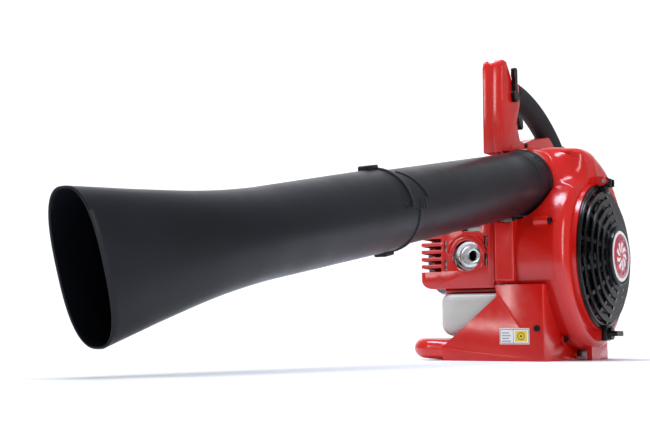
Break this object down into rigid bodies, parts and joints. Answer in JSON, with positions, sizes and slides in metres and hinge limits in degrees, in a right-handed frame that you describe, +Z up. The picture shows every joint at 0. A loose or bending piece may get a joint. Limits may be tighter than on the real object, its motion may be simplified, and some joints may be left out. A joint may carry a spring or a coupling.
{
  "type": "handheld petrol leaf blower",
  "caption": "Handheld petrol blower: scroll fan case with hinged inlet grille, small two-stroke engine, looped grip with trigger, tank, skid and a two-piece tube with a flat flared mouth.",
  "frame": {"origin": "on the ground under the crankshaft, on the stand's flat underside, at the engine-side edge of the fan case's rail", "axes": "+Z up, the blower tube points towards -Y, the air inlet faces +X, the engine is on the -X side"},
  "size_m": [0.231, 0.9206, 0.3475],
  "materials": {
    "red_shell": "gloss moulded ABS",
    "black_plastic": "satin moulded polypropylene",
    "grip_rubber": "matte foam rubber",
    "screw_steel": "zinc-plated steel",
    "cast_aluminium": "die cast",
    "muffler_steel": "pressed bright steel",
    "tank_plastic": "translucent polyethylene",
    "filter_foam": "open-cell foam",
    "gasket": "fibre gasket",
    "badge_face": "printed badge",
    "label_face": "printed sticker",
    "cable_black": "cable sheath"
  },
  "bodies": {
    "housing": {"fan_case_outer": "red_shell", "fan_case_inner": "red_shell", "engine_cover": "red_shell", "cooling_duct": "red_shell", "base_stand": "red_shell", "handle_left": "red_shell", "handle_right": "red_shell", "handle_bracket": "red_shell", "grip_sleeve": "grip_rubber", "case_screws": "screw_steel", "shell_screws": "screw_steel", "grille_hinge_pin": "screw_steel", "trigger_pin": "screw_steel", "main_bearings": "screw_steel", "piston_pin": "screw_steel", "piston_rings": "screw_steel", "connecting_rod": "screw_steel", "spark_plug": "screw_steel", "recoil_spring": "screw_steel", "muffler_outlet": "screw_steel", "cylinder": "cast_aluminium", "crankcase_fan_side": "cast_aluminium", "crankcase_starter_side": "cast_aluminium", "piston": "cast_aluminium", "carburettor": "cast_aluminium", "muffler": "muffler_steel", "fuel_tank": "tank_plastic", "air_filter": "filter_foam", "exhaust_gasket": "gasket", "label": "label_face", "ignition_lead": "cable_black", "throttle_cable": "cable_black", "plug_boot": "grip_rubber", "fuel_line": "grip_rubber", "air_cleaner_base": "black_plastic", "air_cleaner_cover": "black_plastic", "intake_insulator": "black_plastic", "starter_housing": "black_plastic", "ignition_coil": "black_plastic"},
    "rotor": {"crankshaft": "screw_steel", "impeller": "black_plastic", "impeller_nut": "screw_steel", "flywheel": "cast_aluminium", "starter_cup": "screw_steel"},
    "grille": {"inlet_grille": "black_plastic", "badge": "badge_face"},
    "latch": {"grille_latch": "black_plastic"},
    "trigger": {"throttle_trigger": "black_plastic"},
    "speed_lever_body": {"speed_lever": "black_plastic"},
    "switch": {"stop_switch": "black_plastic"},
    "throttle": {"throttle_arm": "screw_steel"},
    "choke": {"choke_lever": "black_plastic"},
    "primer": {"primer_bulb": "grip_rubber"},
    "cap": {"fuel_cap": "black_plastic"},
    "cleaner_knob_body": {"air_cleaner_knob": "black_plastic"},
    "pull_handle": {"starter_grip": "black_plastic", "starter_rope": "cable_black"},
    "pulley": {"starter_pulley": "black_plastic"},
    "tube": {"blower_tube": "black_plastic"},
    "nozzle_body": {"nozzle": "black_plastic"}
  },
  "joints": [
    {"name": "fan_spin", "type": "hinge", "parent": "housing", "child": "rotor", "pos_m": [0, 0, 0.119], "axis": [1, 0, 0], "continuous": true},
    {"name": "grille_hinge", "type": "hinge", "parent": "housing", "child": "grille", "pos_m": [0.056, 0, 0.206], "axis": [0, -1, 0], "range_deg": [0, 100]},
    {"name": "latch_turn", "type": "hinge", "parent": "grille", "child": "latch", "pos_m": [0.06, 0, 0.0307], "axis": [1, 0, 0], "range_deg": [0, 90]},
    {"name": "throttle_trigger", "type": "hinge", "parent": "housing", "child": "trigger", "pos_m": [-0.05, -0.042, 0.304], "axis": [1, 0, 0], "range_deg": [0, 15], "stiffness_Nm_per_rad": 0.2, "springref_deg": -28.65},
    {"name": "speed_lever_swing", "type": "hinge", "parent": "housing", "child": "speed_lever_body", "pos_m": [-0.035, -0.053, 0.308], "axis": [-1, 0, 0], "range_deg": [0, 45]},
    {"name": "stop_switch_slide", "type": "slide", "parent": "housing", "child": "switch", "axis": [0, 0, 1], "range_m": [0, 0.006]},
    {"name": "throttle_arm_turn", "type": "hinge", "parent": "housing", "child": "throttle", "pos_m": [-0.08, 0.068, 0.176], "axis": [1, 0, 0], "range_deg": [0, 75]},
    {"name": "choke_turn", "type": "hinge", "parent": "housing", "child": "choke", "pos_m": [-0.116, 0.088, 0.146], "axis": [0, 1, 0], "range_deg": [0, 60]},
    {"name": "primer_press", "type": "slide", "parent": "housing", "child": "primer", "axis": [1, 0, 0], "range_m": [0, 0.004], "stiffness_N_per_m": 300, "springref_m": -0.003},
    {"name": "fuel_cap_turn", "type": "hinge", "parent": "housing", "child": "cap", "pos_m": [-0.125, -0.03, 0.053], "axis": [1, 0, 0], "range_deg": [0, 120]},
    {"name": "cleaner_knob_turn", "type": "hinge", "parent": "housing", "child": "cleaner_knob_body", "pos_m": [-0.106, 0.12, 0.152], "axis": [0, 1, 0], "range_deg": [0, 180]},
    {"name": "starter_pull", "type": "slide", "parent": "housing", "child": "pull_handle", "axis": [0, 0, 1], "range_m": [0, 0.5], "stiffness_N_per_m": 8, "springref_m": -0.1, "deforming": ["starter_rope"]},
    {"name": "pulley_turn", "type": "hinge", "parent": "housing", "child": "pulley", "pos_m": [-0.148, 0, 0.119], "axis": [1, 0, 0], "range_deg": [0, 1150]},
    {"name": "tube_twist", "type": "hinge", "parent": "housing", "child": "tube", "pos_m": [-0.0246, -0.06093, 0.20382], "axis": [0, -0.9827, -0.1852], "range_deg": [0, 25]},
    {"name": "nozzle_twist", "type": "hinge", "parent": "tube", "child": "nozzle_body", "pos_m": [-0.0246, -0.38326, 0.14309], "axis": [0, -0.9827, -0.1852], "range_deg": [0, 90]}
  ],
  "couplings": [
    {"joint": "throttle_arm_turn", "follows": "throttle_trigger", "ratio": 4.5},
    {"joint": "pulley_turn", "follows": "starter_pull", "rad_per_m": 38.462}
  ]
}
